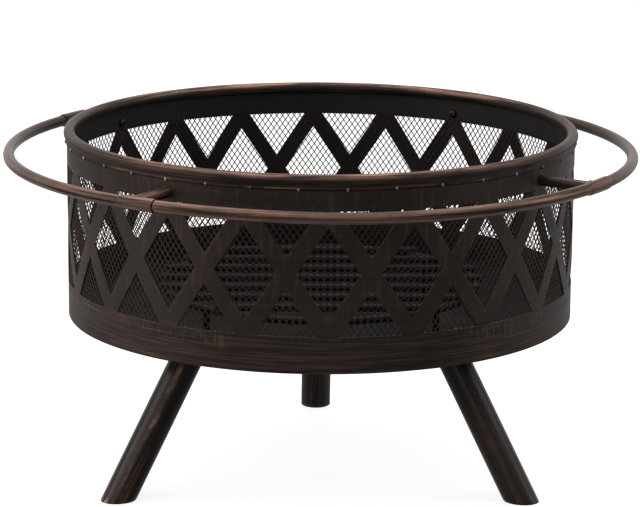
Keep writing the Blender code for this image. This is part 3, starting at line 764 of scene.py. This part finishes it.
def weld_bead(bm, route, radius, seed, closed=True):
    """A rippled bead of weld along a route of points."""
    rings = []
    count = len(route)
    for index, point in enumerate(route):
        if closed:
            along = route[(index + 1) % count] - route[index - 1]
        else:
            along = route[min(index + 1, count - 1)] - route[max(index - 1, 0)]
        ripple = 1.0 + 0.16 * math.sin(index * 1.9 + seed) + 0.12 * wobble(point, 300.0, seed)
        up = Vector((0.0, 0.0, 1.0)) if abs(along.normalized().z) < 0.9 else Vector((1.0, 0.0, 0.0))
        rings.append(circle(point, along, radius * ripple, 8, up))
    surface(bm, rings, loop_along=closed, caps=not closed)


def make_leg_welds():
    """The bead that joins each leg to its plate."""
    bm = bmesh.new()
    bead_r = 0.0019
    top = leg_axis()[1]
    stretch = 1.0 / math.cos(math.radians(LEG_TILT))
    for seed, azimuth in enumerate(LEG_AZIMUTHS.values()):
        route = []
        for angle in turns(96):
            offset = Vector((LEG_TUBE_R * math.cos(angle), LEG_TUBE_R * stretch * math.sin(angle), -0.0006))
            route.append(turned_to(azimuth) @ (top + offset * 1.03))
        weld_bead(bm, route, bead_r, seed)
    finish_piece("leg_welds", bm, LEG_PAINTS["front_left"], sharp=80.0)


def rounded_rectangle(width, depth, corner_r, steps=8):
    points = []
    for corner, (sign_x, sign_y) in enumerate([(1, 1), (-1, 1), (-1, -1), (1, -1)]):
        centre_x = sign_x * (width / 2 - corner_r)
        centre_y = sign_y * (depth / 2 - corner_r)
        for step in range(steps + 1):
            angle = math.radians(90.0 * corner + 90.0 * step / steps)
            points.append((centre_x + corner_r * math.cos(angle), centre_y + corner_r * math.sin(angle)))
    return points


def make_leg_plate(name, azimuth):
    """A plate with rounded corners and softened edges."""
    low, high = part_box("leg_plate_rear")
    corner_r = 0.0101
    soft = 0.0005
    middle = 0.010
    rings = []
    for inset, height in ((middle, low.z), (soft, low.z), (0.0, low.z + soft), (0.0, high.z - soft),
                          (soft, high.z), (middle, high.z)):
        outline = rounded_rectangle(high.x - low.x - 2 * inset, high.y - low.y - 2 * inset, corner_r)
        rings.append([Vector((x, y - LEG_TOP_R, height)) for x, y in outline])
    bm = bmesh.new()
    surface(bm, rings, caps=True)
    bm.transform(turned_to(azimuth))
    finish_piece("leg_mount_" + name, bm, BOWL_PAINT, replaces=["leg_plate_" + name])


# -------------------- fasteners

def level_ring(radius, height, sides, hexagonal=False):
    """A level ring of points: a circle, or a hexagon whose sides are this far from its middle."""
    ring = []
    for angle in turns(sides):
        reach = radius / math.cos(angle % (math.pi / 3) - math.pi / 6) if hexagonal else radius
        ring.append(Vector((reach * math.cos(angle), reach * math.sin(angle), height)))
    return ring


def make_screw(name, node, head_r, length, matrix, material):
    """A button head with a hexagon socket, and its shank below."""
    sides = 36
    soft = 0.0002
    socket_r = head_r * 0.42
    flats = socket_r * math.cos(math.pi / 6)
    profile = [(socket_r * 1.02, SCREW_HEAD_HEIGHT)]
    for step in range(1, 9):
        angle = math.radians(90.0 * step / 8)
        profile.append((socket_r + (head_r - socket_r) * math.sin(angle),
                        SCREW_HEAD_HEIGHT * (0.22 + 0.78 * math.cos(angle))))
    profile += [(head_r, soft), (head_r - soft, 0.0), (SCREW_SHANK_R, 0.0),
                (SCREW_SHANK_R, -length + 2 * soft), (SCREW_SHANK_R - 2 * soft, -length)]
    rings = [level_ring(flats, SCREW_HEAD_HEIGHT * share, sides, hexagonal=True) for share in (0.35, 1.0)]
    rings += [level_ring(r, z, sides) for r, z in profile]
    bm = bmesh.new()
    surface(bm, rings, caps=True)
    bm.transform(matrix)
    finish_piece(name, bm, material, replaces=[node], sharp=40.0)


def make_arm_bolt(name, azimuth):
    node = "arm_bolt_" + name
    inner_r, outer_r = radii(node)
    seat = at_azimuth(inner_r + SCREW_HEAD_HEIGHT, azimuth, RING_Z)
    matrix = Matrix.Translation(seat) @ turned_to(azimuth) @ Matrix.Rotation(-math.pi / 2, 4, "X")
    length = outer_r - inner_r - SCREW_HEAD_HEIGHT
    make_screw("ring_screw_" + name, node, ARM_BOLT_HEAD_R, length, matrix, BLACKED_STEEL)


def make_leg_fasteners(name):
    """Screws through the bowl and the plate, and their nuts."""
    for side in ("left", "right"):
        node = "leg_bolt_" + name + "_" + side
        low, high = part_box(node)
        centre = (low + high) / 2
        seat_z = high.z - SCREW_HEAD_HEIGHT
        matrix = Matrix.Translation((centre.x, centre.y, seat_z))
        make_screw("leg_screw_" + name + "_" + side, node, LEG_BOLT_HEAD_R, seat_z - low.z, matrix,
                   FASTENER_STEEL)
        make_nut("leg_nut_" + name + "_" + side, centre)


def make_nut(node, centre):
    """A hexagon nut with chamfered corners and a bore."""
    low_z, high_z = heights(node)
    flats = 0.0050
    chamfer = 0.12 * (high_z - low_z)
    sides = 48
    rings = [level_ring(flats, low_z, sides), level_ring(flats, low_z + chamfer, sides, hexagonal=True),
             level_ring(flats, high_z - chamfer, sides, hexagonal=True), level_ring(flats, high_z, sides),
             level_ring(NUT_BORE_R, high_z, sides), level_ring(NUT_BORE_R, low_z, sides)]
    bm = bmesh.new()
    surface(bm, rings, loop_along=True)
    bm.transform(Matrix.Translation((centre.x, centre.y, 0.0)))
    finish_piece(node + "_fine", bm, FASTENER_STEEL, replaces=[node], sharp=30.0)


# -------------------- handle ring

def ring_line(azimuth):
    """A point of the handle ring's middle line, which sags a little between the front arms."""
    point = at_azimuth(RING_R, azimuth, RING_Z)
    share = ((azimuth - QUARTER_STARTS["front"]) % 360.0) / 90.0
    if share < 1.0:
        point.z -= RING_SAG * math.sin(math.pi * share ** RING_SAG_SKEW) ** 2
    point.z += 0.00035 * wobble(point, 6.0, 3.0)
    return point


def make_ring_quarter(name, start):
    """A quarter tube: necked where it enters the last one's socket, widened to a socket itself."""
    neck = RING_TUBE_R * 0.80
    shoulder = SOCKET_END + 0.20
    body_start = shoulder + 0.20
    flare = 90.0 + SOCKET_START
    end = 90.0 + SOCKET_END
    mouth = end - 0.10
    bore = SOCKET_R - SHEET
    stations = [(PLUG_START, neck), (SOCKET_END, neck), (shoulder, neck)]
    for step in range(1, 6):
        turn = math.radians(90.0 * step / 5)
        rounded = shoulder + 0.13 * (1.0 - math.cos(turn))
        stations.append((rounded, neck + (RING_TUBE_R - neck) * math.sin(turn)))
    stations += [(body_start + (flare - body_start) * step / 180, RING_TUBE_R) for step in range(181)]
    for step in range(1, 9):
        share = step / 8
        widened = RING_TUBE_R + (SOCKET_R - RING_TUBE_R) * share * share * (3.0 - 2.0 * share)
        stations.append((flare + SOCKET_FLARE * share, widened))
    for step in range(1, 21):
        stations.append((flare + SOCKET_FLARE + (mouth - flare - SOCKET_FLARE) * step / 20, SOCKET_R))
    stations += [(end - 0.03, SOCKET_R - 0.00015), (end, SOCKET_R - 0.00045), (end, bore + 0.0002),
                 (end - 0.03, bore), (90.0 + PLUG_START, bore)]
    bm = bmesh.new()
    edge = bm.verts.layers.float.new("edge")
    rings = []
    for angle, radius in stations:
        along = at_azimuth(1.0, start + angle + 90.0, 0.0)
        rings.append(circle(ring_line(start + angle), along, radius, 36))
    surface(bm, rings, caps=True)
    for vert in bm.verts:
        behind = (math.degrees(math.atan2(vert.co.x, -vert.co.y)) - start) % 360.0
        vert[edge] = max(0.0, 1.0 - min(abs(behind - end), abs(behind - body_start)) / 0.25)
    finish_piece("ring_tube_" + name, bm, RING_PAINT, replaces=["ring_quarter_" + name],
                 sharp=50.0)


def socket_face(up):
    """How far from the drum's axis the near side of a socket is, at a height from its middle."""
    return RING_R - math.sqrt(SOCKET_R ** 2 - up ** 2)


def make_arm(name, azimuth):
    """A radial tube whose outer end is shaped to the ring tube and welded to it."""
    outward = at_azimuth(1.0, azimuth, 0.0)
    sideways = at_azimuth(1.0, azimuth + 90.0, 0.0)
    lip = 0.0004
    weld_r = 1.06 * ARM_R
    straight = RING_R - SOCKET_R - ARM_INNER_END_R
    stations = [(ARM_INNER_END_R, ARM_R - lip), (ARM_INNER_END_R + lip * 0.3, ARM_R - lip * 0.3)]
    stations += [(ARM_INNER_END_R + straight * step / 24, ARM_R) for step in range(1, 24)]
    bm = bmesh.new()
    edge = bm.verts.layers.float.new("edge")
    rings = [circle(at_azimuth(radius, azimuth, RING_Z), outward, tube_r, 36) for radius, tube_r in stations]
    coped = [point + outward * (socket_face(point.z - RING_Z) - point.dot(outward)) for point in rings[-1]]
    surface(bm, rings + [coped], caps=True)
    grain = bm.verts.layers.float_vector.new("grain")
    for vert in bm.verts:
        vert[edge] = 0.55
        vert[grain] = (vert.co.dot(outward), vert.co.dot(sideways), vert.co.z)
    route = []
    for turn in turns(72):
        up = weld_r * math.cos(turn)
        place = at_azimuth(socket_face(up), azimuth, ring_line(azimuth).z + up)
        route.append(place + sideways * (weld_r * math.sin(turn)))
    weld_bead(bm, route, 0.0013, azimuth)
    finish_piece("ring_bracket_" + name, bm, ARM_PAINT, replaces=["ring_arm_" + name],
                 sharp=60.0)


def make_arm_insert(name, azimuth):
    """The threaded insert in an arm's drum end, seen only as a ring."""
    node = "arm_insert_" + name
    inner_r, outer_r = radii(node)
    low_z, high_z = heights(node)
    outer = (high_z - low_z) / 2
    soft = 0.0003
    stations = [(inner_r, outer - soft), (inner_r + soft, outer), (outer_r - soft, outer),
                (outer_r, outer - soft), (outer_r, NUT_BORE_R), (inner_r, NUT_BORE_R)]
    outward = at_azimuth(1.0, azimuth, 0.0)
    bm = bmesh.new()
    rings = [circle(at_azimuth(radius, azimuth, RING_Z), outward, tube_r, 32) for radius, tube_r in stations]
    surface(bm, rings, loop_along=True)
    finish_piece("arm_thread_" + name, bm, FASTENER_STEEL, replaces=[node])


# -------------------- log grate

def straight_bar(bm, start, end, radius, seed):
    """A round bar with domed ends and a slight unevenness."""
    along = (end - start).normalized()
    up = (0.0, 0.0, 1.0) if abs(along.z) < 0.9 else (1.0, 0.0, 0.0)
    length = (end - start).length
    dome = [(0.0, 0.55), (radius * 0.12, 0.8), (radius * 0.35, 0.95), (radius * 0.6, 1.0)]
    stations = dome + [(length * step / 20, 1.0) for step in range(1, 20)]
    stations += [(length - distance, share) for distance, share in reversed(dome)]
    rings = []
    for distance, share in stations:
        centre = start + along * distance
        rings.append(circle(centre, along, radius * share * (1 + 0.015 * wobble(centre, 60.0, seed)), 24, up))
    surface(bm, rings, caps=True)


def make_grate():
    """Welded round bars: a ring, parallel bars across it and short feet."""
    low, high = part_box("log_grate")
    bar_r = 0.0045
    ring_r = 0.1900
    bars = 7
    pitch = 0.0500
    lift = 0.0060
    overhang = 0.0080
    weld_reach = 0.0042
    weld_side = 0.0036
    ring_z = high.z - bar_r - lift
    steps = 200
    bm = bmesh.new()
    rings = []
    for step in range(steps):
        azimuth = 360.0 * step / steps
        along = at_azimuth(1.0, azimuth + 90.0, 0.0)
        rings.append(circle(at_azimuth(ring_r, azimuth, ring_z), along, bar_r, 24))
    surface(bm, rings, loop_along=True)
    for index in range(bars):
        y = (index - (bars - 1) / 2) * pitch
        reach = math.sqrt(ring_r ** 2 - y ** 2)
        middle = Vector((0.0, y, ring_z + lift))
        half_bar = Vector((reach + overhang, 0.0, 0.0))
        straight_bar(bm, middle - half_bar, middle + half_bar, bar_r, seed=index)
        for side in (-1, 1):
            lean = 0.001 * Vector((y, -side * reach, 0.0)).normalized()
            weld_half = Vector((weld_reach, 0.0, 0.0)) + lean
            for edge_side in (-1, 1):
                centre = Vector((side * reach, y + edge_side * weld_side, ring_z + lift * 0.5))
                route = [centre + weld_half * share for share in (-1.0, -0.6, -0.2, 0.2, 0.6, 1.0)]
                weld_bead(bm, route, 0.0017, index + side, closed=False)
    for index in range(4):
        azimuth = 45.0 + 90.0 * index
        foot = at_azimuth(ring_r, azimuth, low.z)
        straight_bar(bm, foot, at_azimuth(ring_r, azimuth, ring_z), bar_r * 0.95, seed=20.0 + index)
    finish_piece("round_bar_grate", bm, GRATE_PAINT, body="grate", replaces=["log_grate"],
                 sharp=50.0)


# -------------------- studio

def make_floor():
    bm = bmesh.new()
    bmesh.ops.create_grid(bm, x_segments=8, y_segments=8, size=45.0)
    mesh = bpy.data.meshes.new("studio_floor")
    bm.to_mesh(mesh)
    bm.free()
    floor = bpy.data.objects.new("studio_floor", mesh)
    bpy.context.scene.collection.objects.link(floor)
    mesh.materials.append(floor_white("floor_white"))
    floor.visible_diffuse = False
    floor.visible_glossy = False


def add_softbox(name, place, size, power, colour=WHITE):
    """A soft lamp that looks at the middle of the object."""
    light = bpy.data.lights.new(name, "AREA")
    light.shape = "RECTANGLE"
    light.size, light.size_y = size
    light.energy = power
    light.color = colour
    obj = bpy.data.objects.new(name, light)
    direction = Vector((0.0, 0.0, 0.3)) - Vector(place)
    obj.matrix_world = Matrix.Translation(place) @ direction.to_track_quat("-Z", "Y").to_matrix().to_4x4()
    bpy.context.scene.collection.objects.link(obj)


def make_world():
    """A bright room, dimmer behind the camera and dim below the floor's level."""
    world = bpy.data.worlds.new("studio")
    bpy.context.scene.world = world
    n = Nodes(world, "Background", "Generated")
    room = n.product(n.ramp(n.position("Y"), -0.9, 0.3, 0.30, 0.80),
                     n.ramp(n.position("Z"), -0.35, 0.05, 0.45, 1.0))
    ceiling = n.ramp(n.position("Z"), 0.08, 0.40, 0.0, 0.55)
    n.feed(n.shader.inputs["Strength"], n.math("MAXIMUM", room, ceiling))
    n.feed(n.shader.inputs["Color"], WHITE)


def make_camera():
    """A long lens a little above the rim, looking down at it from nearly straight in front."""
    azimuth = -0.9
    distance = 3.396
    height = 1.057
    pitch_down = math.radians(13.075)
    roll = 0.00747
    camera = bpy.data.cameras.new("camera")
    camera.sensor_width = 36.0
    camera.lens = 161.685
    camera.clip_end = 100.0
    obj = bpy.data.objects.new("camera", camera)
    obj.matrix_world = (Matrix.Translation(at_azimuth(distance, azimuth, height)) @ turned_to(azimuth)
                        @ Matrix.Rotation(math.pi / 2 - pitch_down, 4, "X") @ Matrix.Rotation(roll, 4, "Z"))
    bpy.context.scene.collection.objects.link(obj)
    bpy.context.scene.camera = obj


def make_studio():
    make_camera()
    make_floor()
    make_world()
    add_softbox("softbox_top", (0.0, 0.6, 3.2), (3.0, 3.0), 60.0)
    add_softbox("softbox_left", (-3.0, -0.9, 1.3), (2.4, 2.8), 54.0, (1.0, 0.93, 0.89))
    add_softbox("softbox_right", (3.0, -0.6, 1.6), (1.8, 2.2), 19.0)
    add_softbox("softbox_front", (-1.64, -3.09, 1.2), (2.8, 2.0), 15.0)
    bpy.context.scene.view_settings.view_transform = "Standard"


# -------------------- build

make_studio()
make_drum()
make_rim()
make_tack_welds()
make_spark_mesh()
make_bowl()
for leg_name, leg_azimuth in LEG_AZIMUTHS.items():
    make_leg(leg_name, leg_azimuth)
    make_leg_plate(leg_name, leg_azimuth)
    make_leg_fasteners(leg_name)
make_leg_welds()
for quarter_name, quarter_azimuth in QUARTER_STARTS.items():
    make_ring_quarter(quarter_name, quarter_azimuth)
for arm_name, arm_azimuth in ARM_AZIMUTHS.items():
    make_arm(arm_name, arm_azimuth)
    make_arm_insert(arm_name, arm_azimuth)
    make_arm_bolt(arm_name, arm_azimuth)
make_grate()
